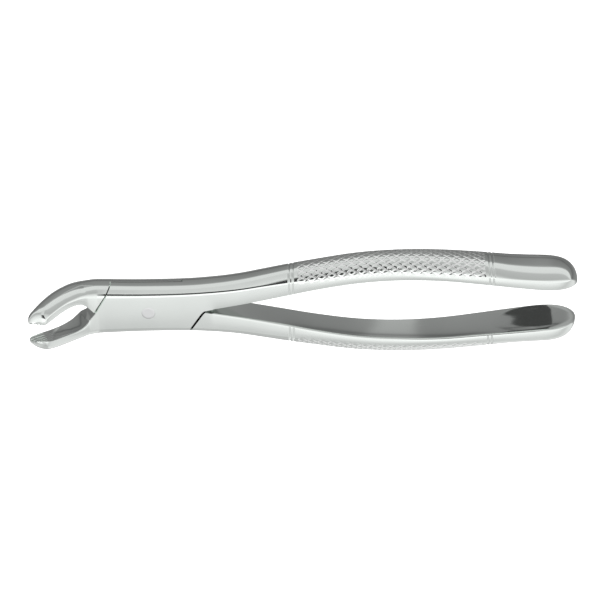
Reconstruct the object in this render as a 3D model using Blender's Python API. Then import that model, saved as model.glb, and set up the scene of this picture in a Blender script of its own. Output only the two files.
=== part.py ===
"""Dental extraction forceps: two crossing forged halves, lap-jointed on one flush pivot pin.

Frame, in metres: the pin's axis is vertical (+Z) and the origin is on it, on the joint's lower flat face.
+X runs from the joint to the handles, +Y to the upper handle, and the beaks curve up towards +Z.
Each half is one forging: a handle on one side of the joint, a plate half as thick as the joint, and the
beak on the other side. The plates lie on each other, and the halves swing about the pin.
"""
import math

import bpy
import bmesh
import numpy as np
from mathutils import Vector

MM = 0.001

# Joint block
JOINT_THICKNESS = 9.4 * MM
LAP_GAP = 0.3 * MM                # between the two plates
SEAM_GAP = 0.45 * MM              # between a plate's end and the other half's shoulder
PIN_RADIUS = 2.0 * MM
PIN_CLEARANCE = 0.3 * MM

# Shoulder lines as (x, y) in millimetres, for a half whose handle is at +Y; the first is the upper half's.
# The handle shoulders run past the handle's first ring, so that no wedge is left across the crotch.
BEAK_SHOULDER = ((-11.2, 9.4), (-16.6, 0.9), (-18.0, -0.8), (-20.2, -3.2), (-22.4, -3.9))
UPPER_HANDLE_SHOULDER = ((11.3, -9.2), (17.0, -0.8), (18.0, 0.25), (20.3, 0.7), (20.6, 0.66))
LOWER_HANDLE_SHOULDER = ((10.0, -9.2), (17.0, -0.8), (18.0, 0.25), (20.3, 0.7), (20.6, 0.66))

# The outside from the beaks to the handle's end, in millimetres: x, crest, width, dome, edge radius
OUTSIDE_STATIONS = (
    (-17.4, 8.95, 9.4, 1.5, 2.4),
    (0.0, 8.45, 9.4, 1.5, 1.9),
    (17.0, 8.8, 9.4, 1.55, 1.6),
    (28.6, 10.2, 9.6, 1.95, 1.5),
    (36.0, 11.75, 9.8, 2.35, 1.4),
    (43.6, 13.4, 10.0, 2.8, 1.6),
    (52.0, 14.95, 10.4, 3.0, 2.4),
    (65.0, 17.0, 10.9, 3.2, 2.8),
    (78.8, 17.8, 11.4, 3.2, 2.8),
    (91.4, 17.35, 12.4, 3.2, 2.8),
    (103.9, 16.05, 13.4, 3.1, 2.0),
    (114.0, 14.6, 14.4, 3.0, 0.7),
    (122.8, 14.0, 15.0, 2.9, 0.8),
    (134.1, 14.1, 15.4, 2.9, 2.6),
)
# The inside of the handle, in millimetres: x, edge, hollow; the last stations make the thumb's dish
INSIDE_STATIONS = (
    (20.3, 0.65, 0.0),
    (28.6, 2.2, 0.0),
    (41.1, 4.9, 0.1),
    (52.0, 7.4, 0.2),
    (65.0, 9.7, 0.3),
    (78.8, 10.7, 0.35),
    (91.4, 10.5, 0.35),
    (103.9, 9.3, 0.3),
    (114.0, 8.2, 0.9),
    (122.8, 7.3, 1.1),
    (134.1, 6.8, 0.1),
)
INNER_EDGE_RADIUS = 0.6 * MM
HANDLE_END = 134.1                          # where the handle ends, and where its end begins to round off
HANDLE_ROUNDING = 120.0
ROUNDING_POWERS = (3.4, 3.8)                # of the end's width and of its thickness

# Beak stations in millimetres: centreline x and z, inner edge, outer crest, width, dome, hollow, edge radii
BEAK_STATIONS = (
    (-20.3, 1.1, 2.2, 9.1, 9.0, 1.5, 0.1, 2.2, 0.4),
    (-22.3, 2.2, 3.9, 9.3, 8.8, 1.6, 0.25, 2.0, 0.4),
    (-24.7, 4.0, 4.7, 9.35, 8.4, 1.8, 0.4, 1.8, 0.35),
    (-27.0, 6.1, 4.75, 9.2, 7.9, 1.8, 0.5, 1.6, 0.3),
    (-29.3, 8.6, 4.35, 8.75, 7.4, 1.8, 0.6, 1.4, 0.3),
    (-31.5, 11.2, 3.75, 7.95, 6.9, 1.7, 0.65, 1.2, 0.25),
    (-33.5, 13.6, 3.2, 6.8, 6.3, 1.4, 0.65, 0.9, 0.2),
    (-35.0, 15.4, 2.8, 5.6, 5.8, 1.1, 0.6, 0.7, 0.2),
)
BEAK_START = ((-12.0, 0.0), (-14.5, 0.01), (-17.0, 0.15))   # the centreline before the stations
# How much further out the inner face lies along its far edge, by distance along the centreline
BEAK_TWIST = ((0.0, 0.0), (5.0, 0.6), (8.5, 1.6), (12.5, 1.5), (17.0, 1.0), (21.0, 0.5), (26.0, 0.0))
TIP_LENGTH = 2.4                            # of the rounded tip
TIP_SLANT = 1.9                             # how much shorter its near edge is

DOME_POWER = 2.5
CORNER_STEPS = 4
FACE_STEPS = 8
PIN_SEGMENTS = 40
MID_PLANE = JOINT_THICKNESS / 2
OVERSIZE = 9.0 * MM                         # how far a cutter reaches past what it cuts


def smooth_column(stations, column, at):
    """Cubic curve through one column of a station table, read at the positions in at."""
    x = np.array([row[0] for row in stations])
    y = np.array([row[column] for row in stations])
    order = np.argsort(x)
    x, y = x[order], y[order]
    slope = np.gradient(y, x)
    cell = np.clip(np.searchsorted(x, at) - 1, 0, len(x) - 2)
    span = x[cell + 1] - x[cell]
    t = (at - x[cell]) / span
    left = y[cell] * (1 + 2 * t) * (1 - t) ** 2 + span * slope[cell] * t * (1 - t) ** 2
    right = y[cell + 1] * t ** 2 * (3 - 2 * t) - span * slope[cell + 1] * t ** 2 * (1 - t)
    return left + right


def section(low, high, half, bulge_low, bulge_high, radius_low, radius_high):
    """Closed outline of (y, w): two faces across y, each domed or hollow by its bulge, and four round corners.

    low and high are the outermost y of the two faces and half is the half width. A dome falls as
    bulge*|u|^DOME_POWER and meets its corners at their slope; a hollow is a parabola between sharp rims.
    Every section has the same number of points, so that unlike sections can be lofted.
    """
    outline = []
    for sign, edge, bulge, radius in ((1, high, bulge_high, radius_high), (-1, low, bulge_low, radius_low)):
        reach, lean = half - radius, 0.0
        if bulge > 0:
            for _ in range(6):
                lean = math.atan2(DOME_POWER * bulge, reach)
                reach = half - radius + radius * math.sin(lean)
        rim = edge - sign * max(bulge, 0.0)
        centre = rim - sign * radius * math.cos(lean)
        corner = []
        for step in range(CORNER_STEPS + 1):
            angle = (math.pi / 2 - lean) * step / CORNER_STEPS
            corner.append((centre + sign * radius * math.sin(angle), half - radius + radius * math.cos(angle)))
        outline += [(y, sign * w) for y, w in corner]
        for step in range(1, FACE_STEPS):
            u = 1 - 2 * step / FACE_STEPS
            power = DOME_POWER if bulge > 0 else 2.0
            outline.append((rim + sign * bulge * (1 - abs(u) ** power), sign * reach * u))
        outline += [(y, -sign * w) for y, w in reversed(corner)]
    return outline


def handle_rings():
    """Rings of a handle from its end to the joint, each in a plane across X, its end rounded off."""
    rounding = HANDLE_END - HANDLE_ROUNDING
    places = HANDLE_END - rounding * (1 - np.cos(np.linspace(0, math.pi / 2, 10)))
    places = np.concatenate((places, np.linspace(HANDLE_ROUNDING, INSIDE_STATIONS[0][0], 20)[1:]))
    u = np.clip((places - HANDLE_ROUNDING) / rounding, 0, 0.995)
    narrow, thin = (np.sqrt(1 - u ** power) for power in ROUNDING_POWERS)
    crest, width, dome, edge = (smooth_column(OUTSIDE_STATIONS, column, places) * MM for column in range(1, 5))
    inner, hollow = (smooth_column(INSIDE_STATIONS, column, places) * MM for column in (1, 2))
    rings = []
    for i, place in enumerate(places):
        small = min(narrow[i], thin[i])
        outer = inner[i] + (crest[i] - inner[i]) * thin[i]
        outline = section(
            inner[i], outer, width[i] / 2 * narrow[i], -hollow[i] * small, dome[i] * thin[i],
            INNER_EDGE_RADIUS * small, edge[i] * small,
        )
        rings.append([Vector((place * MM, y, w)) for y, w in outline])
    return rings


def joint_outline(x):
    """The joint block's outline at x millimetres, as both halves together fill it."""
    read = [smooth_column(OUTSIDE_STATIONS, column, np.array([x]))[0] * MM for column in range(1, 5)]
    crest, width, dome, edge = read
    return section(-crest, crest, width / 2, dome, dome, edge, edge)


def joint_rings():
    """Rings of the joint block from the handles to the start of the beaks."""
    return [[Vector((x * MM, y, w)) for y, w in joint_outline(x)] for x in (17.4, 8.5, 0.0, -6.0)]


def beak_rings():
    """Rings of the beak from the joint to its tip, each square to the beak's centreline in the X-Z plane."""
    line = np.array(list(BEAK_START) + [row[:2] for row in BEAK_STATIONS])
    length = np.concatenate(([0.0], np.cumsum(np.hypot(*np.diff(line, axis=0).T))))
    table = [(s, x, z) for s, (x, z) in zip(length, line)]
    widths = [(s,) + row[2:] for s, row in zip(length[len(BEAK_START):], BEAK_STATIONS)]
    tip = length[-1]
    end = tip - TIP_LENGTH * (1 - np.sin(np.linspace(0.0, math.pi / 2, 5)))
    body = np.linspace(length[3], tip - TIP_LENGTH, 16)[:-1]
    places = np.concatenate(([0.0, length[1], length[2]], body, end))
    inner_face = 2 * (CORNER_STEPS + 1) + FACE_STEPS - 1
    nudge = 0.05
    rings = []
    for place in places:
        x, z = (float(smooth_column(table, column, np.array([place]))[0]) for column in (1, 2))
        ends = [smooth_column(table, column, np.array([place - nudge, place + nudge])) for column in (1, 2)]
        run, rise = (float(end[1] - end[0]) for end in ends)
        across = Vector((rise, 0.0, -run)).normalized()
        if place <= length[2]:
            outline = joint_outline(x)
        else:
            read = [float(smooth_column(widths, column, np.array([place]))[0]) * MM for column in range(1, 8)]
            inner, outer, width, dome, hollow, edge, inner_edge = read
            shrink = math.sqrt(1 - min(max((place - tip) / TIP_LENGTH + 1, 0.0), 0.98) ** 2.6)
            middle = 0.85 * inner + 0.15 * outer
            inner, outer = middle + (inner - middle) * shrink, middle + (outer - middle) * shrink
            half = width / 2 * (0.35 + 0.65 * shrink)
            bulges = dome * shrink, -hollow * shrink
            outline = section(-outer, -inner, half, *bulges, edge * shrink, inner_edge * shrink)
        reach = max(w for y, w in outline)
        twist = float(smooth_column(BEAK_TWIST, 1, np.array([place]))[0]) * MM
        slant = TIP_SLANT * MM * min(max((place - tip) / 5.0 + 1, 0.0), 1.0) ** 2
        centre, along = Vector((x * MM, 0.0, z * MM)), Vector((across.z, 0.0, -across.x))
        ring = []
        for i, (y, w) in enumerate(outline):
            if i < inner_face:
                y -= twist * (reach - w) / (2 * reach)
            back = slant * (reach + w) / (2 * reach)
            ring.append(centre + Vector((0.0, y, 0.0)) + across * w + along * back)
        rings.append(ring)
    return rings


def loft(name, rings, mirror):
    """Skin through a list of equal rings, closed at both ends; mirror is -1 to reflect it in the X-Z plane."""
    mesh = bmesh.new()
    loops = []
    for ring in rings:
        loops.append([mesh.verts.new((p.x, mirror * p.y, p.z + MID_PLANE)) for p in ring])
    count = len(loops[0])
    for first, second in zip(loops, loops[1:]):
        for i in range(count):
            j = (i + 1) % count
            mesh.faces.new((first[i], first[j], second[j], second[i]))
    mesh.faces.new(loops[0])
    mesh.faces.new(list(reversed(loops[-1])))
    bmesh.ops.recalc_face_normals(mesh, faces=mesh.faces)
    data = bpy.data.meshes.new(name)
    mesh.to_mesh(data)
    mesh.free()
    return bpy.data.objects.new(name, data)


def prism(name, outline, bottom, top):
    """Upright prism on an outline of (x, y) points in metres."""
    mesh = bmesh.new()
    base = [mesh.verts.new((x, y, bottom)) for x, y in outline]
    face = mesh.faces.new(base)
    raised = bmesh.ops.extrude_face_region(mesh, geom=[face])
    upper = [item for item in raised["geom"] if isinstance(item, bmesh.types.BMVert)]
    bmesh.ops.translate(mesh, verts=upper, vec=(0.0, 0.0, top - bottom))
    bmesh.ops.recalc_face_normals(mesh, faces=mesh.faces)
    data = bpy.data.meshes.new(name)
    mesh.to_mesh(data)
    mesh.free()
    return bpy.data.objects.new(name, data)


def shoulder_line(points, shift, flip):
    """A shoulder line in metres, moved by shift along X, reflected in Y if flip is -1."""
    return [(x * MM + shift, flip * y * MM) for x, y in points]


def add_cutter(half, cutter, cutters):
    """Cuts one object from another with a live Boolean."""
    cutter.hide_render = True
    cutter.display_type = "WIRE"
    cutters.objects.link(cutter)
    cut = half.modifiers.new(cutter.name, "BOOLEAN")
    cut.operation = "DIFFERENCE"
    cut.solver = "EXACT"
    cut.object = cutter


def steel(name, colour, roughness):
    """Polished stainless steel."""
    material = bpy.data.materials.new(name)
    material.use_nodes = True
    shader = material.node_tree.nodes["Principled BSDF"]
    shader.inputs["Base Color"].default_value = (*colour, 1.0)
    shader.inputs["Metallic"].default_value = 1.0
    shader.inputs["Roughness"].default_value = roughness
    return material


def build_half(name, side, pivot, parts, cutters, material):
    """One forged half. side is +1 for the half whose handle is at +Y and whose plate is the upper one."""
    half = loft(name, handle_rings() + joint_rings() + beak_rings(), side)
    parts.objects.link(half)
    half.data.materials.append(material)
    half.parent = pivot
    gap = SEAM_GAP / 2
    over = OUTSIDE_STATIONS[0][1] * MM + OVERSIZE
    floor, roof = -2 * OVERSIZE, JOINT_THICKNESS + 2 * OVERSIZE

    # What lies beyond this half's own shoulders, through the whole thickness
    line = shoulder_line(BEAK_SHOULDER, gap, side)
    beyond_beak = [(line[0][0] + MM, side * over)] + line + [(line[-1][0], side * over)]
    add_cutter(half, prism(f"{name}_beak_shoulder", beyond_beak, floor, roof), cutters)
    own, other = UPPER_HANDLE_SHOULDER, LOWER_HANDLE_SHOULDER
    if side < 0:
        own, other = other, own
    line = shoulder_line(own, -gap, side)
    beyond_handle = [(line[0][0] - MM, -side * over)] + line + [(line[-1][0], -side * over)]
    add_cutter(half, prism(f"{name}_handle_shoulder", beyond_handle, floor, roof), cutters)

    # The seat of the other half's plate, whose shoulders are this half's turned over
    left = shoulder_line(BEAK_SHOULDER[:3], -gap, -side)
    right = shoulder_line(other[:3], gap, -side)
    seat = [(left[0][0] + MM, -side * over)] + left + [(left[-1][0], side * over)]
    seat += [(right[0][0] - MM, side * over)] + right + [(right[-1][0], -side * over)]
    level = MID_PLANE + side * LAP_GAP / 2
    bottom, top = (floor, level) if side > 0 else (level, roof)
    add_cutter(half, prism(f"{name}_plate_seat", seat, bottom, top), cutters)

    bpy.ops.mesh.primitive_cylinder_add(
        vertices=PIN_SEGMENTS,
        radius=PIN_RADIUS + PIN_CLEARANCE,
        depth=JOINT_THICKNESS + 2 * OVERSIZE,
        location=(0.0, 0.0, MID_PLANE),
    )
    hole = bpy.context.object
    hole.name = f"{name}_pin_hole"
    for owner in hole.users_collection:
        owner.objects.unlink(hole)
    add_cutter(half, hole, cutters)
    half.data.shade_smooth()
    half.data.set_sharp_from_angle(angle=math.radians(35))
    return half


def build_pin(name, pivot, parts, material):
    """The flush rivet pin, as long as the joint is thick."""
    bpy.ops.mesh.primitive_cylinder_add(
        vertices=PIN_SEGMENTS,
        radius=PIN_RADIUS,
        depth=JOINT_THICKNESS,
        location=(0.0, 0.0, MID_PLANE),
    )
    pin = bpy.context.object
    pin.name = name
    for owner in pin.users_collection:
        owner.objects.unlink(pin)
    parts.objects.link(pin)
    pin.parent = pivot
    pin.data.materials.append(material)
    pin.data.shade_smooth()
    pin.data.set_sharp_from_angle(angle=math.radians(35))
    return pin


def main():
    for item in list(bpy.data.objects):
        bpy.data.objects.remove(item)
    parts = bpy.data.collections.new("extraction_forceps")
    cutters = bpy.data.collections.new("cutters")
    bpy.context.scene.collection.children.link(parts)
    bpy.context.scene.collection.children.link(cutters)
    pivot = bpy.data.objects.new("pivot_axis", None)
    parts.objects.link(pivot)
    polished = steel("polished_steel", (0.70, 0.71, 0.71), 0.12)
    ground = steel("ground_steel", (0.66, 0.67, 0.67), 0.20)
    build_half("upper_handle_half", 1, pivot, parts, cutters, polished)
    build_half("lower_handle_half", -1, pivot, parts, cutters, polished)
    build_pin("pivot_pin", pivot, parts, ground)


main()
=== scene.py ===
import math
import bpy
import bmesh
import numpy as np
from mathutils import Matrix, Vector


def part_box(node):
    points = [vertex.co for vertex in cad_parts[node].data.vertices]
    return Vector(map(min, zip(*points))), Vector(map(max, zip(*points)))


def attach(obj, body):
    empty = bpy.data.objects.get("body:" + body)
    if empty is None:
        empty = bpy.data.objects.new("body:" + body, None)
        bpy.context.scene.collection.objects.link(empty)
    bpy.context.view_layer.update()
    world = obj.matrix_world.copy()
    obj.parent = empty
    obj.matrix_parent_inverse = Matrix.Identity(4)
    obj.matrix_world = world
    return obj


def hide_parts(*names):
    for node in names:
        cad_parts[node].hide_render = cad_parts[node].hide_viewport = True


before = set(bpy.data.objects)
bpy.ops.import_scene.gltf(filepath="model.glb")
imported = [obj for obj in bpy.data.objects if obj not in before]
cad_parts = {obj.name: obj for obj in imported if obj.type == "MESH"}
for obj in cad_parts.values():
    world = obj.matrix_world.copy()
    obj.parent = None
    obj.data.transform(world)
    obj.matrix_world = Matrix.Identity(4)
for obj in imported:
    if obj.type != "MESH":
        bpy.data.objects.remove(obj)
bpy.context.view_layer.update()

# The forceps lie flat, the pin upright. Lengths here are in millimetres and become metres in the meshes.
mm = 0.001
pinLow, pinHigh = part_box("pivot_pin")
midPlane = (pinLow.z + pinHigh.z) / 2 / mm      # height of the lap faces
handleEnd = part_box("upper_handle_half")[1].x / mm

forging = {
    "domePower": 2.5,                # how full the domed sides are
    "jointThickness": 9.4,
    "flatCrown": 0.10,               # polishing leaves the flats very slightly round
    "lapGap": 0.2,
    "seamGap": 0.4,
    "pinHole": 2.06,
    # x, outer crest, width, rise of the dome, edge radius
    "outer": (
        (-17.4, 8.95, 9.4, 1.5, 2.4),
        (0.0, 8.45, 9.4, 1.5, 1.9),
        (17.0, 8.8, 9.4, 1.55, 1.6),
        (28.6, 10.2, 9.6, 1.95, 1.5),
        (36.0, 11.75, 9.8, 2.35, 1.4),
        (43.6, 13.4, 10.0, 2.8, 1.6),
        (52.0, 14.95, 10.4, 3.0, 2.4),
        (65.0, 17.0, 10.9, 3.2, 2.8),
        (78.8, 17.8, 11.4, 3.2, 2.8),
        (91.4, 17.35, 12.4, 3.2, 2.8),
        (103.9, 16.05, 13.4, 3.1, 2.0),
        (114.0, 14.6, 14.4, 3.0, 0.7),
        (122.8, 14.0, 15.0, 2.9, 0.8),
        (134.1, 14.1, 15.4, 2.9, 2.6),
    ),
    # x, inner edge, hollow, edge radius
    "inner": (
        (20.3, 0.65, 0.0, 0.5),
        (28.6, 2.2, 0.0, 0.5),
        (41.1, 4.9, 0.1, 0.6),
        (52.0, 7.4, 0.2, 0.6),
        (65.0, 9.7, 0.3, 0.6),
        (78.8, 10.7, 0.35, 0.6),
        (91.4, 10.5, 0.35, 0.6),
        (103.9, 9.3, 0.3, 0.6),
        (114.0, 8.2, 0.2, 0.6),
        (122.8, 7.3, 0.15, 0.6),
        (134.1, 6.8, 0.1, 0.6),
    ),
    # the thumb's dish near the end of the inner face
    "dish": {"from": 107.5, "deepest": 121.0, "to": 132.8, "halfWidth": 6.6, "depth": 0.5},
    "endStart": 120.0,               # where the handle's end begins to round off
    "endPowers": (3.4, 3.8),         # of its width and of its thickness
    "handleCrown": 0.05,             # how much its flats are raised
}

beak = {
    # x and z of the centreline before the stations
    "start": ((-12.0, 0.0), (-14.5, 0.01), (-17.0, 0.15)),
    # centreline x and z, inner edge, outer crest, width, dome, hollow, edge radius outside and inside
    "stations": (
        (-20.3, 1.1, 2.2, 9.1, 9.0, 1.5, 0.1, 2.2, 0.4),
        (-22.3, 2.2, 3.9, 9.3, 8.8, 1.6, 0.25, 2.0, 0.4),
        (-24.7, 4.0, 4.7, 9.35, 8.4, 1.8, 0.4, 1.8, 0.35),
        (-27.0, 6.1, 4.75, 9.2, 7.9, 1.8, 0.5, 1.6, 0.3),
        (-29.3, 8.6, 4.35, 8.75, 7.4, 1.8, 0.6, 1.4, 0.3),
        (-31.5, 11.2, 3.75, 7.95, 6.9, 1.7, 0.65, 1.2, 0.25),
        (-33.5, 13.6, 3.2, 6.8, 6.3, 1.4, 0.65, 0.9, 0.2),
        (-35.0, 15.4, 2.8, 5.6, 5.8, 1.1, 0.6, 0.7, 0.2),
    ),
    # how much further out the inner face lies along its far edge, by distance along the centreline
    "twist": ((0.0, 0.0), (5.0, 0.6), (8.5, 1.6), (12.5, 1.5), (17.0, 1.0), (21.0, 0.5), (26.0, 0.0)),
    "tipLength": 2.4,                # of the rounded tip
    "tipSlant": 1.9,                 # how much shorter the near edge is
    "slantReach": 5.0,               # how far back from the tip the slant begins
    "tipPower": 2.6,                 # how blunt the tip's rounding is
    "tipMiddle": 0.15,               # where the tip closes, from the inner edge to the outer crest
    "tipWidth": 0.35,                # share of the width left at the very tip
    "flatCrown": 0.04,               # how much its flats are raised
    "flutePitch": 0.95,
    "fluteDepth": 0.3,
    "fluteReach": 11.0,              # how far the flutes run back from the tip
}

knurl = {
    "span": (46.6, 105.0),
    "pitchAlong": 3.1,
    "pitchAround": 2.05,
    "grooveShare": 0.17,             # half width of a groove, as a share of the pitch
    "depth": 0.11,
    "fade": 0.9,
    "edgeBand": 0.1,                 # smooth band left beside the flats
    "ringsAt": (44.05, 45.25, 106.2, 107.4),
    "ringDepth": 0.2,
    "ringWidth": 0.2,
}

# Where each half ends against the other, as (x, y) for a half whose handle is at +Y
shoulders = {
    "beak": ((-11.2, 9.4), (-16.6, 0.9), (-18.0, -0.8), (-20.2, -3.2), (-22.4, -3.9)),
    "upperHandle": ((11.3, -9.2), (17.0, -0.8), (18.0, 0.25), (20.3, 0.7), (20.6, 0.66)),
    "lowerHandle": ((10.0, -9.2), (17.0, -0.8), (18.0, 0.25), (20.3, 0.7), (20.6, 0.66)),
    "chamfer": 0.45,
}


# Cubic curve through one column of a station table: each span blends its two ends and their slopes.
def hermite(stations, column, at):
    x = np.array([row[0] for row in stations], float)
    y = np.array([row[column] for row in stations], float)
    order = np.argsort(x)
    x, y = x[order], y[order]
    slope = np.gradient(y, x)
    cell = np.clip(np.searchsorted(x, at) - 1, 0, len(x) - 2)
    span = x[cell + 1] - x[cell]
    t = np.clip((at - x[cell]) / span, 0, 1)
    start = y[cell] * (1 + 2 * t) * (1 - t) ** 2 + span * slope[cell] * t * (1 - t) ** 2
    return start + y[cell + 1] * t ** 2 * (3 - 2 * t) - span * slope[cell + 1] * t ** 2 * (1 - t)


# 0 below low, 1 above high, with a soft S between.
def smoothStep(low, high, value):
    t = np.clip((value - low) / (high - low), 0, 1)
    return t * t * (3 - 2 * t)


# points on each part of a ring
ringCounts = {"corner": 10, "face": 73, "side": 8, "hollow": 23}

# where each run of the handle's rings begins and ends, and the step between them, going inwards
handleRuns = {
    "endReach": 14,
    "endCount": 34,
    "butt": (0.3, 108.2, -0.6),      # begins this far past the end's last ring
    "rearRings": (108.1, 105.3, -0.12),
    "knurling": (105.2, 46.0, -0.18),
    "frontRings": (45.9, 43.2, -0.12),
    "neck": (43.0, 20.6, -0.8),
    "last": 20.3,
}


# One face of a ring with its two round corners: a dome or hollow edge -/+ bulge*(1-|u|^power) that
# meets each corner arc at the same slope. Columns are y and w; the arguments are arrays, one per
# ring.
def sideOfRing(edge, half, bulge, radius, sign, count):
    power = np.where(bulge > 0, forging["domePower"], 2.0)
    reach = half - radius
    for _ in range(6):
        lean = np.arctan2(power * bulge, reach)
        reach = half - radius + radius * np.sin(lean)
    centre = np.where(bulge > 0, edge - sign * (bulge + radius * np.cos(lean)), edge - sign * radius)
    rim = centre + sign * radius * np.cos(lean)
    turn = (math.pi / 2 - lean)[:, None] * np.linspace(0, 1, ringCounts["corner"])
    arcY = centre[:, None] + sign * radius[:, None] * np.sin(turn)
    arcW = sign * (half[:, None] - radius[:, None] * (1 - np.cos(turn)))
    u = np.linspace(1, -1, count)[None, 1:-1]
    faceY = rim[:, None] + sign * bulge[:, None] * (1 - np.abs(u) ** power[:, None])
    faceW = sign * reach[:, None] * u
    return np.hstack([arcY, faceY, arcY[:, ::-1]]), np.hstack([arcW, faceW, -arcW[:, ::-1]])


# Rings of (y, w): the high face, a flat side, the low face and the other flat side, each flat raised
# by crown*(1-v^2) between its corners.
def ringGrid(low, high, half, bulgeLow, bulgeHigh, radiusLow, radiusHigh, crown):
    highY, highW = sideOfRing(high, half, bulgeHigh, radiusHigh, 1, ringCounts["face"])
    lowY, lowW = sideOfRing(low, half, bulgeLow, radiusLow, -1, ringCounts["hollow"])
    v = np.linspace(0, 1, ringCounts["side"])[None, 1:-1]
    lift = crown[:, None] * (1 - (2 * v - 1) ** 2)
    farY = highY[:, -1:] * (1 - v) + lowY[:, :1] * v
    farW = highW[:, -1:] * (1 - v) + lowW[:, :1] * v - lift
    nearY = lowY[:, -1:] * (1 - v) + highY[:, :1] * v
    nearW = lowW[:, -1:] * (1 - v) + highW[:, :1] * v + lift
    return np.hstack([highY, farY, lowY, nearY]), np.hstack([highW, farW, lowW, nearW])


# x of the handle's rings, from its end inwards: close together at the end, the knurling and the
# rings.
def handlePlaces():
    quarter = np.linspace(0.0, math.pi / 2, handleRuns["endCount"])
    end = handleEnd - handleRuns["endReach"] * (1 - np.cos(quarter))
    gap, stop, step = handleRuns["butt"]
    runs = [end, np.arange(end[-1] - gap, stop, step)]
    for run in ("rearRings", "knurling", "frontRings", "neck"):
        runs.append(np.arange(*handleRuns[run]))
    return np.concatenate(runs + [[handleRuns["last"]]])


# The handle as rings across X, its end rounded off by (1-u^power)^0.5 in width and in thickness.
def handleGrid():
    x = handlePlaces()
    crest, width, dome, edge = (hermite(forging["outer"], column, x) for column in range(1, 5))
    inner, hollow, innerEdge = (hermite(forging["inner"], column, x) for column in range(1, 4))
    u = np.clip((x - forging["endStart"]) / (handleEnd - forging["endStart"]), 0, 0.99999)
    narrow, thin = (np.sqrt(1 - u ** power) for power in forging["endPowers"])
    crest = inner + (crest - inner) * thin
    half = width / 2 * narrow
    small = np.minimum(narrow, thin)
    crown = forging["handleCrown"] * small
    y, w = ringGrid(inner, crest, half, -hollow * small, dome * thin, innerEdge * small, edge * small, crown)
    return np.stack([np.repeat(x[:, None], y.shape[1], 1), y, w], -1)


# The whole joint's outline at each x, as both halves together fill it.
def jointSection(x):
    crest, width, dome, edge = (hermite(forging["outer"], column, x) for column in range(1, 5))
    return ringGrid(-crest, crest, width / 2, dome, dome, edge, edge, np.full(len(x), forging["flatCrown"]))


# The joint block as rings across X.
def jointGrid():
    x = np.arange(17.4, beak["start"][0][0] + 0.3, -1.2)
    y, w = jointSection(x)
    return np.stack([np.repeat(x[:, None], y.shape[1], 1), y, w], -1)


# The beak as rings square to its centreline, which bends up in the X-Z plane out of the joint.
def beakGrid():
    rows = beak["stations"]
    line = np.array(list(beak["start"]) + [row[:2] for row in rows])
    length = np.concatenate(([0.0], np.cumsum(np.hypot(*np.diff(line, axis=0).T))))
    path = [(s, x, z) for s, (x, z) in zip(length, line)]
    table = [(s,) + tuple(row[2:]) for s, row in zip(length[len(beak["start"]):], rows)]
    tip = length[-1]
    root = np.linspace(0.02, length[2] + 0.3, 12)
    body = np.linspace(length[3], tip - beak["tipLength"], 50)
    end = tip - beak["tipLength"] * (1 - np.sin(np.linspace(0.02, math.pi / 2, 22)))
    places = np.concatenate([root, body, end])
    rise = hermite(path, 2, places + 0.03) - hermite(path, 2, places - 0.03)
    run = hermite(path, 1, places + 0.03) - hermite(path, 1, places - 0.03)
    across = np.stack([rise, -run], 1) / np.hypot(rise, run)[:, None]
    rootY, rootW = jointSection(hermite(path, 1, root))
    s = places[len(root):]
    inner, crest, width, dome, hollow, edge, innerEdge = (hermite(table, column, s) for column in range(1, 8))
    u = np.clip((s - tip + beak["tipLength"]) / beak["tipLength"], 0, 0.99999)
    shrink = np.sqrt(1 - u ** beak["tipPower"])
    middle = inner * (1 - beak["tipMiddle"]) + crest * beak["tipMiddle"]
    inner, crest = middle + (inner - middle) * shrink, middle + (crest - middle) * shrink
    half = width / 2 * (beak["tipWidth"] + (1 - beak["tipWidth"]) * shrink)
    beakY, beakW = ringGrid(
        -crest, -inner, half, dome * shrink, -hollow * shrink,
        edge * shrink, innerEdge * shrink, beak["flatCrown"] * shrink,
    )
    y, w = np.vstack([rootY, beakY]), np.vstack([rootW, beakW])
    # the inner face turns outwards along its far edge, and the tip is cut on the slant
    reach = np.abs(w).max(1, keepdims=True)
    count = highCount()
    onInner = np.zeros(w.shape[1])
    onInner[:count] = 1.0
    onInner[count:count + ringCounts["side"] - 2] = np.linspace(1, 0, ringCounts["side"])[1:-1]
    y = y - hermite(beak["twist"], 1, places)[:, None] * onInner * (reach - w) / (2 * reach)
    slantShare = smoothStep(tip - beak["slantReach"], tip, places)[:, None]
    slant = beak["tipSlant"] * slantShare * (reach + w) / (2 * reach)
    x = hermite(path, 1, places)[:, None] + across[:, :1] * w + across[:, 1:] * slant
    z = hermite(path, 2, places)[:, None] + across[:, 1:] * w - across[:, :1] * slant
    fromTip = tip - places
    return np.stack([x, y, z], -1), fromTip


# Outward unit normals of a closed-ring grid, from the slopes along it and around it.
def gridNormals(grid):
    along = np.gradient(grid, axis=0)
    around = (np.roll(grid, -1, 1) - np.roll(grid, 1, 1)) / 2
    normal = np.cross(along, around)
    normal /= np.linalg.norm(normal, axis=2, keepdims=True) + 1e-12
    crest = ringCounts["corner"] + ringCounts["face"] // 2 - 1
    return normal * np.sign(normal[len(grid) // 2, crest, 1])


# How many points of a ring belong to its high face and that face's corners.
def highCount():
    return 2 * ringCounts["corner"] + ringCounts["face"] - 2


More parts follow.
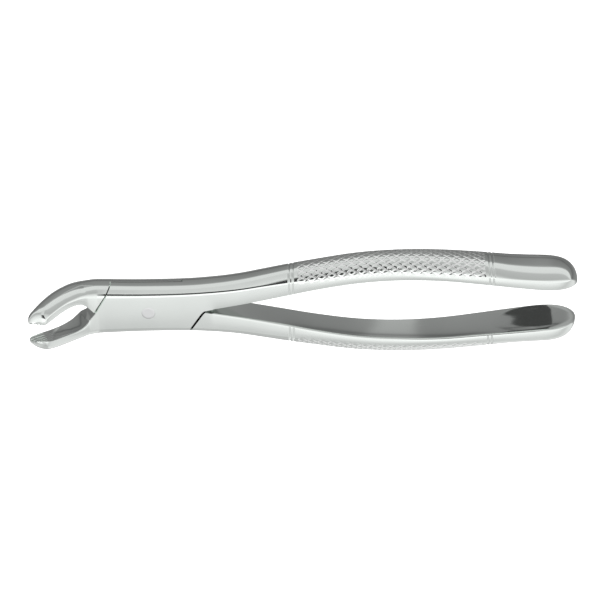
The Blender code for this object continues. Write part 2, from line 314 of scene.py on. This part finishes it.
# Depth of the knurling, depth of the ring grooves, and both sets' phases with their strength. The
# knurling is two crossing sets of grooves: a phase is x / pitchAlong plus or minus the distance
# around the handle from its crest / pitchAround, and a groove is 1 - (distance from the nearest whole
# phase / half width)^2. It fades at the knurling's borders. A ring is a bell curve in x.
def knurlRelief(grid):
    x = grid[..., 0]
    steps = np.linalg.norm(np.diff(grid[..., 1:], axis=1), axis=2)
    around = np.concatenate([np.zeros((len(grid), 1)), np.cumsum(steps, 1)], 1)
    count = highCount()
    crest = count // 2
    around = around - around[:, crest:crest + 1]
    rim = around[:, count - 1:count]
    first, second = (x / knurl["pitchAlong"] + sign * around / knurl["pitchAround"] for sign in (1, -1))
    cut = np.zeros_like(x)
    for phase in (first, second):
        off = np.abs(phase - np.round(phase)) / knurl["grooveShare"]
        cut = np.maximum(cut, np.clip(1 - off ** 2, 0, 1))
    low, high = knurl["span"]
    share = smoothStep(low, low + 0.5, x) * (1 - smoothStep(high - 0.6, high, x))
    border = rim - knurl["edgeBand"]
    share = share * (1 - smoothStep(border - knurl["fade"], border + 0.3, np.abs(around)))
    rings = np.zeros_like(x)
    for place in knurl["ringsAt"]:
        rings += np.exp(-((x - place) / knurl["ringWidth"]) ** 2)
    index = np.arange(grid.shape[1])
    outerPart = np.where((index < count + 8) | (index > grid.shape[1] - 9), 1.0, 0.0)
    fields = np.stack([first, second, share * outerPart], -1)
    return knurl["depth"] * cut * share, knurl["ringDepth"] * rings * outerPart, fields


# Depth of the thumb's dish: a ramp that falls slowly and rises fast along x, times (1-v^4)^1.5
# across, where v is measured on a width that opens along the ramp as a half ellipse.
def dishRelief(grid):
    dish = forging["dish"]
    x, w = grid[..., 0], grid[..., 2]
    fall = np.clip((x - dish["from"]) / (dish["deepest"] - dish["from"]), 0, 1)
    rise = np.clip((dish["to"] - x) / (dish["to"] - dish["deepest"]), 0, 1)
    middle = (dish["from"] + dish["to"]) / 2
    ellipse = np.sqrt(np.clip(1 - ((x - middle) / (dish["to"] - middle)) ** 2, 1e-4, 1))
    v = np.clip(np.abs(w) / (dish["halfWidth"] * ellipse), 0, 1)
    index = np.arange(grid.shape[1])
    onInner = (index >= highCount() + 4) & (index < grid.shape[1] - 6)
    return dish["depth"] * fall ** 1.2 * smoothStep(0, 1, rise) * (1 - v ** 4) ** 1.5 * onInner[None, :]


# Depth of the flutes along the beak's hollow face: a cosine across the face, deepest at the tip.
def fluteRelief(grid, fromTip):
    index = np.arange(grid.shape[1])
    count, corner = highCount(), ringCounts["corner"]
    across = np.linspace(-1, 1, count)
    steps = np.linalg.norm(np.diff(grid[:, :count], axis=1), axis=2)
    reach = np.concatenate([np.zeros((len(grid), 1)), np.cumsum(steps, 1)], 1)
    reach = reach - reach[:, -1:] / 2
    wave = 0.5 + 0.5 * np.cos(2 * math.pi * reach / beak["flutePitch"])
    onFace = smoothStep(0.0, 0.12, 1 - np.abs(across) * (1 + corner / count))
    share = smoothStep(0, 1, np.clip(1 - fromTip / beak["fluteReach"], 0, 1))
    depth = np.zeros(grid.shape[:2])
    depth[:, index < count] = beak["fluteDepth"] * wave * onFace[None, :] * share[:, None]
    return depth


# Closed mesh over a grid of rings, its two end rings filled; mirror -1 reflects it in Y. fields, if
# any, are kept on the vertices for the material: the two groove phases and the knurling's strength.
def skin(name, grid, mirror, fields=None):
    rings, count = grid.shape[:2]
    points = grid.reshape(-1, 3) * [1, mirror, 1] + [0, 0, midPlane]
    first = np.arange((rings - 1) * count).reshape(rings - 1, count)
    after = np.roll(first, -1, 1)
    quads = np.stack([first, after, after + count, first + count], -1).reshape(-1, 4)
    corners = points[quads]
    spread = np.cross(corners[:, 1] - corners[:, 0], corners[:, 2] - corners[:, 0])
    volume = (corners[:, 0] * spread).sum()
    faces = quads.tolist() + [list(range(count))[::-1], list(range((rings - 1) * count, rings * count))]
    if volume < 0:
        faces = [face[::-1] for face in faces]
    mesh = bpy.data.meshes.new(name)
    mesh.from_pydata((points * mm).tolist(), [], faces)
    mesh.update()
    if fields is not None:
        knurling = mesh.attributes.new("knurling", "FLOAT_VECTOR", "POINT")
        knurling.data.foreach_set("vector", fields.reshape(-1).astype(np.float32))
    piece = bpy.data.objects.new(name, mesh)
    bpy.context.scene.collection.objects.link(piece)
    return piece


# Prism on an outline of (x, y) points, its bottom and its top moved in x by lean. It only cuts.
def prism(name, outline, bottom, top, lean=(0.0, 0.0)):
    count = len(outline)
    points = [((x + shift) * mm, y * mm, z * mm) for z, shift in zip((bottom, top), lean) for x, y in outline]
    sides = [(i, (i + 1) % count, (i + 1) % count + count, i + count) for i in range(count)]
    mesh = bpy.data.meshes.new(name)
    mesh.from_pydata(points, [], [tuple(range(count))[::-1], tuple(range(count, 2 * count))] + sides)
    shape = bmesh.new()
    shape.from_mesh(mesh)
    bmesh.ops.recalc_face_normals(shape, faces=shape.faces)
    shape.to_mesh(mesh)
    shape.free()
    cutter = bpy.data.objects.new(name, mesh)
    bpy.context.scene.collection.objects.link(cutter)
    return cutter


# Cuts the cutters from the piece, one after the other, and removes them.
def cutAway(piece, cutters):
    for cutter in cutters:
        cut = piece.modifiers.new("cut", "BOOLEAN")
        cut.operation = "DIFFERENCE"
        cut.solver = "MANIFOLD"
        cut.object = cutter
    bpy.context.view_layer.update()
    result = bpy.data.meshes.new_from_object(piece.evaluated_get(bpy.context.evaluated_depsgraph_get()))
    piece.modifiers.clear()
    piece.data = result
    piece.data.materials.clear()
    for cutter in cutters:
        bpy.data.objects.remove(cutter)


# The four shapes that part one half from the other: beyond its two shoulders, the other half's plate,
# and the pin hole. side is +1 for the half with the upper handle.
def seamCutters(side):
    gap, far, tall = forging["seamGap"] / 2, 20.0, 40.0

    def line(points, shift, flip):
        return [(x + shift, flip * y) for x, y in points]

    own, other = shoulders["upperHandle"], shoulders["lowerHandle"]
    if side < 0:
        own, other = other, own
    beakLine = line(shoulders["beak"], gap, side)
    beyondBeak = [(beakLine[0][0] + 1, side * far)] + beakLine + [(beakLine[-1][0], side * far)]
    handleLine = line(own, -gap, side)
    beyondHandle = [(handleLine[0][0] - 1, -side * far)] + handleLine + [(handleLine[-1][0], -side * far)]
    left = line(shoulders["beak"][:3], -gap, -side)
    right = line(other[:3], gap, -side)
    seat = [(left[0][0] + 1, -side * far)] + left + [(left[-1][0], side * far)]
    seat += [(right[0][0] - 1, side * far)] + right + [(right[-1][0], -side * far)]
    level = midPlane + side * forging["lapGap"] / 2
    bottom, top = (-tall, level) if side > 0 else (level, tall)
    turn = np.linspace(0, 2 * math.pi, 97)[:-1]
    hole = list(zip(forging["pinHole"] * np.cos(turn), forging["pinHole"] * np.sin(turn)))
    cutters = [
        prism("beyondBeakShoulder", beyondBeak, -tall, tall),
        prism("beyondHandleShoulder", beyondHandle, -tall, tall),
        prism("plateSeat", seat, bottom, top),
        prism("pinHole", hole, -tall, tall),
    ]
    # the same outlines again, leaning over the flats, break the shoulders' upper and lower edges
    surface, chamfer = forging["jointThickness"] / 2 + forging["flatCrown"], shoulders["chamfer"]
    for outline, towards in ((beyondBeak, 1.0), (beyondHandle, -1.0)):
        low, high = midPlane + surface - chamfer, midPlane + surface + 1.0
        cutters.append(prism("upperChamfer", outline, low, high, (0.0, towards * (high - low))))
        low, high = midPlane - surface - 1.0, midPlane - surface + chamfer
        cutters.append(prism("lowerChamfer", outline, low, high, (towards * (high - low), 0.0)))
    return cutters


# One half of the forceps, from the end of its handle through the joint to the tip of its beak.
def forgedHalf(name, side):
    handle, joint = handleGrid(), jointGrid()
    beakPart, fromTip = beakGrid()
    grooves, rings, fields = knurlRelief(handle)
    handle = handle - gridNormals(handle) * (grooves + rings + dishRelief(handle))[..., None]
    beakPart = beakPart - gridNormals(beakPart) * fluteRelief(beakPart, fromTip)[..., None]
    plain = np.zeros((len(joint) + len(beakPart), grooves.shape[1], 3))
    piece = skin(name, np.concatenate([handle, joint, beakPart]), side, np.concatenate([fields, plain]))
    cutAway(piece, seamCutters(side))
    piece.data.shade_smooth()
    piece.data.set_sharp_from_angle(angle=math.radians(38))
    print(name, len(piece.data.polygons), "faces")
    return piece


pin = {
    "radius": 2.035,
    "edge": 0.05,
    "halfLength": 4.78,
    "segments": 96,
    "colour": (0.84, 0.85, 0.85),
    "roughness": 0.10,
}


# The pin: a turned profile, flat ends with rounded edges, carried once round the Z axis.
def rivet(name):
    arc = np.linspace(math.pi / 2, 0, 7)
    radii = np.concatenate([[0.4, 0.9, 1.4], pin["radius"] - pin["edge"] * (1 - np.cos(arc))])
    heights = np.concatenate([[pin["halfLength"]] * 3, pin["halfLength"] - pin["edge"] * (1 - np.sin(arc))])
    radii = np.concatenate([radii, radii[::-1]])
    heights = np.concatenate([heights, -heights[::-1]])
    turn = np.linspace(0, 2 * math.pi, pin["segments"] + 1)[:-1]
    x, y = radii[:, None] * np.cos(turn), radii[:, None] * np.sin(turn)
    grid = np.stack([x, y, np.repeat(heights[:, None], len(turn), 1)], -1)
    piece = skin(name, grid, 1)
    piece.data.shade_smooth()
    piece.data.set_sharp_from_angle(angle=math.radians(50))
    return piece


steel = {
    "colour": (0.845, 0.88, 0.855),
    "roughness": 0.075,
    "roughnessSpread": 0.05,
    "polishScale": (45, 700, 700),      # streaks run along the instrument
    "streakHeight": 0.00001,
    "cloudScale": 60,
    "scratchScale": 900,
    "grooveRoughness": 0.25,
    "grooveCore": 0.05,                 # half width of a groove's fully satin middle, in phases
    # the grooves' colour is whiter steel: a painted highlight that stands in for the bright lines the
    # knurling's grooves catch
    "grooveHighlightColour": (0.97, 0.975, 0.97, 1),
}


# Mirror-polished stainless steel: faint clouds and streaks left by the buffing wheel, and fine wear.
def polishedSteel(name, tint, roughness):
    material = bpy.data.materials.new(name)
    material.use_nodes = True
    nodes, links = material.node_tree.nodes, material.node_tree.links
    nodes.clear()

    buffing = nodes.new("NodeFrame")
    buffing.label = "buffing streaks"
    wear = nodes.new("NodeFrame")
    wear.label = "handling wear"

    coordinates = nodes.new("ShaderNodeTexCoord")
    coordinates.label = "place on the forging"
    coordinates.location = (-1300, 0)

    stretch = nodes.new("ShaderNodeMapping")
    stretch.label = "streaks along the handle"
    stretch.location = (-1100, 200)
    stretch.parent = buffing
    stretch.inputs["Scale"].default_value = steel["polishScale"]
    links.new(coordinates.outputs["Object"], stretch.inputs["Vector"])

    streaks = nodes.new("ShaderNodeTexNoise")
    streaks.label = "buffing streaks"
    streaks.location = (-900, 200)
    streaks.parent = buffing
    streaks.inputs["Scale"].default_value = 1.0
    streaks.inputs["Detail"].default_value = 4.0
    streaks.inputs["Roughness"].default_value = 0.6
    links.new(stretch.outputs["Vector"], streaks.inputs["Vector"])

    clouds = nodes.new("ShaderNodeTexNoise")
    clouds.label = "uneven polish"
    clouds.location = (-900, -100)
    clouds.parent = wear
    clouds.inputs["Scale"].default_value = steel["cloudScale"]
    clouds.inputs["Detail"].default_value = 3.0
    links.new(coordinates.outputs["Object"], clouds.inputs["Vector"])

    scratches = nodes.new("ShaderNodeTexVoronoi")
    scratches.label = "hairline scratches"
    scratches.location = (-900, -400)
    scratches.parent = wear
    scratches.feature = "DISTANCE_TO_EDGE"
    scratches.inputs["Scale"].default_value = steel["scratchScale"]
    links.new(coordinates.outputs["Object"], scratches.inputs["Vector"])

    scratchMask = nodes.new("ShaderNodeMapRange")
    scratchMask.label = "only the finest lines"
    scratchMask.location = (-700, -400)
    scratchMask.parent = wear
    scratchMask.inputs["From Min"].default_value = 0.0
    scratchMask.inputs["From Max"].default_value = 0.03
    scratchMask.inputs["To Min"].default_value = 1.0
    scratchMask.inputs["To Max"].default_value = 0.0
    links.new(scratches.outputs["Distance"], scratchMask.inputs["Value"])

    mix = nodes.new("ShaderNodeMix")
    mix.label = "streaks and clouds"
    mix.location = (-600, 50)
    mix.data_type = "FLOAT"
    mix.inputs["Factor"].default_value = 0.5
    links.new(streaks.outputs["Fac"], mix.inputs[2])
    links.new(clouds.outputs["Fac"], mix.inputs[3])

    roughnessRange = nodes.new("ShaderNodeMapRange")
    roughnessRange.label = "polish"
    roughnessRange.location = (-400, 50)
    roughnessRange.inputs["From Min"].default_value = 0.3
    roughnessRange.inputs["From Max"].default_value = 0.7
    roughnessRange.inputs["To Min"].default_value = roughness
    roughnessRange.inputs["To Max"].default_value = roughness + steel["roughnessSpread"]
    links.new(mix.outputs[0], roughnessRange.inputs["Value"])

    worn = nodes.new("ShaderNodeMath")
    worn.label = "scratches scatter a little more"
    worn.location = (-200, -150)
    worn.operation = "MULTIPLY_ADD"
    worn.inputs[1].default_value = 0.04
    links.new(scratchMask.outputs["Result"], worn.inputs[0])
    links.new(roughnessRange.outputs["Result"], worn.inputs[2])

    knurling = nodes.new("ShaderNodeAttribute")
    knurling.label = "groove phases and strength"
    knurling.location = (-1500, -800)
    knurling.attribute_name = "knurling"

    fields = nodes.new("ShaderNodeSeparateXYZ")
    fields.label = "the three fields"
    fields.location = (-1300, -800)
    links.new(knurling.outputs["Vector"], fields.inputs["Vector"])

    # each set of grooves: 1 in its middle, falling in a soft S to 0 at its half width
    firstNearest = nodes.new("ShaderNodeMath")
    firstNearest.label = "distance from a groove's middle, first set"
    firstNearest.location = (-1100, -700)
    firstNearest.operation = "PINGPONG"
    firstNearest.inputs[1].default_value = 0.5
    links.new(fields.outputs["X"], firstNearest.inputs[0])

    firstWall = nodes.new("ShaderNodeMapRange")
    firstWall.label = "groove, first set"
    firstWall.location = (-900, -700)
    firstWall.interpolation_type = "SMOOTHSTEP"
    firstWall.inputs["From Min"].default_value = steel["grooveCore"]
    firstWall.inputs["From Max"].default_value = knurl["grooveShare"]
    firstWall.inputs["To Min"].default_value = 1.0
    firstWall.inputs["To Max"].default_value = 0.0
    links.new(firstNearest.outputs["Value"], firstWall.inputs["Value"])

    secondNearest = nodes.new("ShaderNodeMath")
    secondNearest.label = "distance from a groove's middle, second set"
    secondNearest.location = (-1100, -1000)
    secondNearest.operation = "PINGPONG"
    secondNearest.inputs[1].default_value = 0.5
    links.new(fields.outputs["Y"], secondNearest.inputs[0])

    secondWall = nodes.new("ShaderNodeMapRange")
    secondWall.label = "groove, second set"
    secondWall.location = (-900, -1000)
    secondWall.interpolation_type = "SMOOTHSTEP"
    secondWall.inputs["From Min"].default_value = steel["grooveCore"]
    secondWall.inputs["From Max"].default_value = knurl["grooveShare"]
    secondWall.inputs["To Min"].default_value = 1.0
    secondWall.inputs["To Max"].default_value = 0.0
    links.new(secondNearest.outputs["Value"], secondWall.inputs["Value"])

    crossed = nodes.new("ShaderNodeMath")
    crossed.label = "both sets of grooves"
    crossed.location = (-700, -850)
    crossed.operation = "MAXIMUM"
    links.new(firstWall.outputs["Result"], crossed.inputs[0])
    links.new(secondWall.outputs["Result"], crossed.inputs[1])

    groove = nodes.new("ShaderNodeMath")
    groove.label = "cut grooves"
    groove.location = (-500, -850)
    groove.operation = "MULTIPLY"
    links.new(crossed.outputs["Value"], groove.inputs[0])
    links.new(fields.outputs["Z"], groove.inputs[1])

    satin = nodes.new("ShaderNodeMapRange")
    satin.label = "grooves are left satin"
    satin.location = (-150, 100)
    satin.inputs["To Max"].default_value = steel["grooveRoughness"]
    links.new(groove.outputs["Value"], satin.inputs["Value"])

    finish = nodes.new("ShaderNodeMath")
    finish.label = "the rougher of the two"
    finish.location = (0, 100)
    finish.operation = "MAXIMUM"
    links.new(worn.outputs["Value"], finish.inputs[0])
    links.new(satin.outputs["Result"], finish.inputs[1])

    colour = nodes.new("ShaderNodeValToRGB")
    colour.label = "steel, slightly uneven"
    colour.location = (-400, 350)
    colour.color_ramp.elements[0].position = 0.3
    colour.color_ramp.elements[0].color = (*[c * 0.96 for c in tint], 1)
    colour.color_ramp.elements[1].position = 0.7
    colour.color_ramp.elements[1].color = (*tint, 1)
    links.new(clouds.outputs["Fac"], colour.inputs["Fac"])

    # painted highlight: inside the grooves the steel's colour is made whiter, so the knurling's lines show
    # bright as if they caught light
    paintedGrooveHighlight = nodes.new("ShaderNodeMix")
    paintedGrooveHighlight.label = "grooves look whiter"
    paintedGrooveHighlight.location = (-100, 350)
    paintedGrooveHighlight.data_type = "RGBA"
    paintedGrooveHighlight.inputs[7].default_value = steel["grooveHighlightColour"]
    links.new(groove.outputs["Value"], paintedGrooveHighlight.inputs[0])
    links.new(colour.outputs["Color"], paintedGrooveHighlight.inputs[6])

    bump = nodes.new("ShaderNodeBump")
    bump.label = "streak relief"
    bump.location = (-200, -400)
    bump.inputs["Strength"].default_value = 0.25
    bump.inputs["Distance"].default_value = steel["streakHeight"]
    links.new(streaks.outputs["Fac"], bump.inputs["Height"])

    shader = nodes.new("ShaderNodeBsdfPrincipled")
    shader.label = "polished stainless steel"
    shader.location = (50, 0)
    shader.inputs["Metallic"].default_value = 1.0
    links.new(paintedGrooveHighlight.outputs[2], shader.inputs["Base Color"])
    links.new(finish.outputs["Value"], shader.inputs["Roughness"])
    links.new(bump.outputs["Normal"], shader.inputs["Normal"])

    output = nodes.new("ShaderNodeOutputMaterial")
    output.location = (350, 0)
    links.new(shader.outputs["BSDF"], output.inputs["Surface"])
    return material


halfSteel = polishedSteel("halfSteel", steel["colour"], steel["roughness"])
pinSteel = polishedSteel("pinSteel", pin["colour"], pin["roughness"])

upperHalf = forgedHalf("upperHandleForging", 1)
upperHalf.data.materials.append(halfSteel)
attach(upperHalf, "upper_half")
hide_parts("upper_handle_half")

lowerHalf = forgedHalf("lowerHandleForging", -1)
lowerHalf.data.materials.append(halfSteel)
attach(lowerHalf, "lower_half")
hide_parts("lower_handle_half")

rivetPiece = rivet("pivotRivet")
rivetPiece.data.materials.append(pinSteel)
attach(rivetPiece, "upper_half")
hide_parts("pivot_pin")
print("pieces made")

studio = {
    "cameraTilt": 33.0,              # degrees from the pin's axis towards the upper handle
    "cameraRoll": 1.05,
    "cameraDistance": 710.0,
    "viewWidth": 188.4,
    "centreX": 47.4,
    "centreUp": 0.65,
    "floorDrop": 45.0,
    "floorSize": 6.0,                # half its width, in metres
    # what the steel reflects, by the angle about the X axis: 0 is overhead and 90 is towards +Y;
    # first for directions leaning to the beaks, then for directions leaning to the handles' ends
    "beakSide": (
        (-180, 0.30), (-120, 0.50), (-80, 0.60), (-60, 0.50), (-42, 0.60), (-36, 0.70), (-33, 0.84),
        (-29, 0.90), (-25, 1.05), (-21, 1.35), (8, 1.35), (14, 0.04), (41, 0.04), (46, 0.86),
        (57, 0.74), (80, 0.72), (84, 0.80), (110, 0.80), (114, 0.42), (122, 0.32), (147, 0.27),
        (154, 0.25), (158, 0.10), (162, 0.22), (180, 0.20),
    ),
    "endSide": (
        (-180, 0.22), (-140, 0.30), (-125, 0.80), (-110, 0.88), (-70, 0.80), (-45, 0.66), (-36, 0.80),
        (-30, 0.95), (-25, 1.10), (0, 1.10), (30, 0.85), (50, 0.62), (56, 0.50), (78, 0.56), (82, 0.80),
        (110, 0.84), (114, 0.40),
        (122, 0.30), (147, 0.26), (154, 0.23), (157, 0.12), (161, 0.21), (180, 0.20),
    ),
    # share of the second, by x of the direction
    "sideBlend": ((-0.45, 1.0), (-0.3, 0.0), (-0.06, 0.0), (0.02, 1.0)),
    # how much lighter or darker the dark panel is, by x of the direction
    "darkPanel": ((-0.10, 1.0), (-0.02, 0.98), (0.035, 0.95), (0.05, 1.6), (0.115, 1.6), (0.14, 1.05)),
    "darkPanelFrom": (112, 122),     # between these angles it begins
    # a small black card under the handles' ends: it is mirrored in the lower handle's dish, and from behind
    # along the underside of a handle's end
    "card": ((97.5, 12.0), (122.5, -1.6), (126.5, 0.0), (126.5, 12.0)),
    "cardHeight": -12.0,
}


# The surroundings that the steel mirrors: broad light and dark bands about the instrument's length.
def softStudio():
    world = bpy.data.worlds.new("softStudio")
    bpy.context.scene.world = world
    world.use_nodes = True
    nodes, links = world.node_tree.nodes, world.node_tree.links
    nodes.clear()

    direction = nodes.new("ShaderNodeTexCoord")
    direction.label = "direction"
    direction.location = (-900, 0)

    parts = nodes.new("ShaderNodeSeparateXYZ")
    parts.label = "direction's parts"
    parts.location = (-700, 0)
    links.new(direction.outputs["Generated"], parts.inputs["Vector"])

    angle = nodes.new("ShaderNodeMath")
    angle.label = "angle about X"
    angle.location = (-500, 0)
    angle.operation = "ARCTAN2"
    links.new(parts.outputs["Y"], angle.inputs[0])
    links.new(parts.outputs["Z"], angle.inputs[1])

    turn = nodes.new("ShaderNodeMapRange")
    turn.label = "half turns to 0..1"
    turn.location = (-300, 0)
    turn.inputs["From Min"].default_value = -math.pi
    turn.inputs["From Max"].default_value = math.pi
    links.new(angle.outputs["Value"], turn.inputs["Value"])

    beakSide = nodes.new("ShaderNodeValToRGB")
    beakSide.label = "panels towards the beaks"
    beakSide.location = (-100, 300)
    outermost = (studio["beakSide"][0], studio["beakSide"][-1])
    for element, (degrees, level) in zip(list(beakSide.color_ramp.elements), outermost):
        element.position = (degrees + 180) / 360
        element.color = (level, level, level, 1)
    for degrees, level in studio["beakSide"][1:-1]:
        beakSide.color_ramp.elements.new((degrees + 180) / 360).color = (level, level, level, 1)
    links.new(turn.outputs["Result"], beakSide.inputs["Fac"])

    endSide = nodes.new("ShaderNodeValToRGB")
    endSide.label = "panels towards the handles' ends"
    endSide.location = (-100, 0)
    outermost = (studio["endSide"][0], studio["endSide"][-1])
    for element, (degrees, level) in zip(list(endSide.color_ramp.elements), outermost):
        element.position = (degrees + 180) / 360
        element.color = (level, level, level, 1)
    for degrees, level in studio["endSide"][1:-1]:
        endSide.color_ramp.elements.new((degrees + 180) / 360).color = (level, level, level, 1)
    links.new(turn.outputs["Result"], endSide.inputs["Fac"])

    span = nodes.new("ShaderNodeMapRange")
    span.label = "x of the direction, -1..1 to 0..1"
    span.location = (-300, -300)
    span.inputs["From Min"].default_value = -1.0
    links.new(parts.outputs["X"], span.inputs["Value"])

    lean = nodes.new("ShaderNodeValToRGB")
    lean.label = "which end it leans to"
    lean.location = (-100, -300)
    lean.color_ramp.elements[0].color = (1, 1, 1, 1)
    for x, share in studio["sideBlend"]:
        lean.color_ramp.elements.new(x / 2 + 0.5).color = (share, share, share, 1)
    links.new(span.outputs["Result"], lean.inputs["Fac"])

    panels = nodes.new("ShaderNodeMix")
    panels.label = "both ends' panels"
    panels.location = (200, 150)
    panels.data_type = "RGBA"
    links.new(lean.outputs["Color"], panels.inputs[0])
    links.new(beakSide.outputs["Color"], panels.inputs[6])
    links.new(endSide.outputs["Color"], panels.inputs[7])

    place = nodes.new("ShaderNodeMapRange")
    place.label = "place along the dark panel"
    place.location = (-500, -600)
    place.inputs["From Min"].default_value = -0.25
    place.inputs["From Max"].default_value = 0.25
    links.new(parts.outputs["X"], place.inputs["Value"])

    patches = nodes.new("ShaderNodeValToRGB")
    patches.label = "patches on the dark panel"
    patches.location = (-300, -600)
    for x, level in studio["darkPanel"]:
        patches.color_ramp.elements.new(x / 0.5 + 0.5).color = (level / 2, level / 2, level / 2, 1)
    for element in (patches.color_ramp.elements[0], patches.color_ramp.elements[-1]):
        element.color = (0.45, 0.45, 0.45, 1)
    links.new(place.outputs["Result"], patches.inputs["Fac"])

    zone = nodes.new("ShaderNodeValToRGB")
    zone.label = "the dark panel's height"
    zone.location = (-300, -900)
    for element, degrees in zip(zone.color_ramp.elements, studio["darkPanelFrom"]):
        element.position = (degrees + 180) / 360
    links.new(turn.outputs["Result"], zone.inputs["Fac"])

    patched = nodes.new("ShaderNodeMath")
    patched.label = "twice the patch level"
    patched.location = (0, -600)
    patched.operation = "MULTIPLY"
    patched.inputs[1].default_value = 2.0
    links.new(patches.outputs["Color"], patched.inputs[0])

    strength = nodes.new("ShaderNodeMix")
    strength.label = "patches only on the dark panel"
    strength.location = (200, -500)
    strength.data_type = "FLOAT"
    strength.inputs[2].default_value = 1.0
    links.new(zone.outputs["Color"], strength.inputs[0])
    links.new(patched.outputs["Value"], strength.inputs[3])

    background = nodes.new("ShaderNodeBackground")
    background.label = "studio"
    background.location = (450, 0)
    links.new(panels.outputs[2], background.inputs["Color"])
    links.new(strength.outputs[0], background.inputs["Strength"])

    output = nodes.new("ShaderNodeOutputWorld")
    output.location = (650, 0)
    links.new(background.outputs["Background"], output.inputs["Surface"])


# A plain white sweep that the steel doesn't mirror.
def paleFloor():
    mesh = bpy.data.meshes.new("floor")
    size, level = studio["floorSize"], -studio["floorDrop"] * mm
    corners = [(-size, -size, level), (size, -size, level), (size, size, level), (-size, size, level)]
    mesh.from_pydata(corners, [], [(0, 1, 2, 3)])
    floor = bpy.data.objects.new("floor", mesh)
    bpy.context.scene.collection.objects.link(floor)
    floor.visible_glossy = False
    material = bpy.data.materials.new("paleFloor")
    material.use_nodes = True
    shader = material.node_tree.nodes["Principled BSDF"]
    shader.inputs["Base Color"].default_value = (0.9, 0.9, 0.9, 1)
    shader.inputs["Roughness"].default_value = 0.9
    shader.inputs["Emission Color"].default_value = (1, 1, 1, 1)
    shader.inputs["Emission Strength"].default_value = 0.75
    mesh.materials.append(material)


# A black card that shows only in reflections.
def blackCard():
    mesh = bpy.data.meshes.new("card")
    corners = [(x * mm, y * mm, studio["cardHeight"] * mm) for x, y in studio["card"]]
    mesh.from_pydata(corners, [], [(0, 1, 2, 3)])
    card = bpy.data.objects.new("card", mesh)
    bpy.context.scene.collection.objects.link(card)
    card.visible_camera = card.visible_diffuse = card.visible_shadow = False
    material = bpy.data.materials.new("blackCard")
    material.use_nodes = True
    shader = material.node_tree.nodes["Principled BSDF"]
    shader.inputs["Base Color"].default_value = (0.07, 0.07, 0.07, 1)
    shader.inputs["Roughness"].default_value = 1.0
    mesh.materials.append(material)


# Looks from above the upper handle, rolled so that the handles run level to the right.
def placeCamera():
    tilt, roll = math.radians(studio["cameraTilt"]), math.radians(studio["cameraRoll"])
    towards = Vector((0, math.sin(tilt), math.cos(tilt)))
    up = Vector((0, math.cos(tilt), -math.sin(tilt)))
    along = Vector((1, 0, 0))
    right = along * math.cos(roll) - up * math.sin(roll)
    top = up * math.cos(roll) + along * math.sin(roll)
    target = Vector((studio["centreX"], 0, midPlane)) + up * studio["centreUp"]
    camera = bpy.data.cameras.new("camera")
    camera.sensor_width = 36
    camera.lens = camera.sensor_width * studio["cameraDistance"] / studio["viewWidth"]
    camera.clip_start, camera.clip_end = 0.01, 20
    holder = bpy.data.objects.new("camera", camera)
    turn = Matrix((right, top, towards)).transposed().to_4x4()
    holder.matrix_world = Matrix.Translation((target + towards * studio["cameraDistance"]) * mm) @ turn
    bpy.context.scene.collection.objects.link(holder)
    bpy.context.scene.camera = holder


softStudio()
paleFloor()
blackCard()
placeCamera()
bpy.context.scene.view_settings.view_transform = "Standard"
print("studio ready")
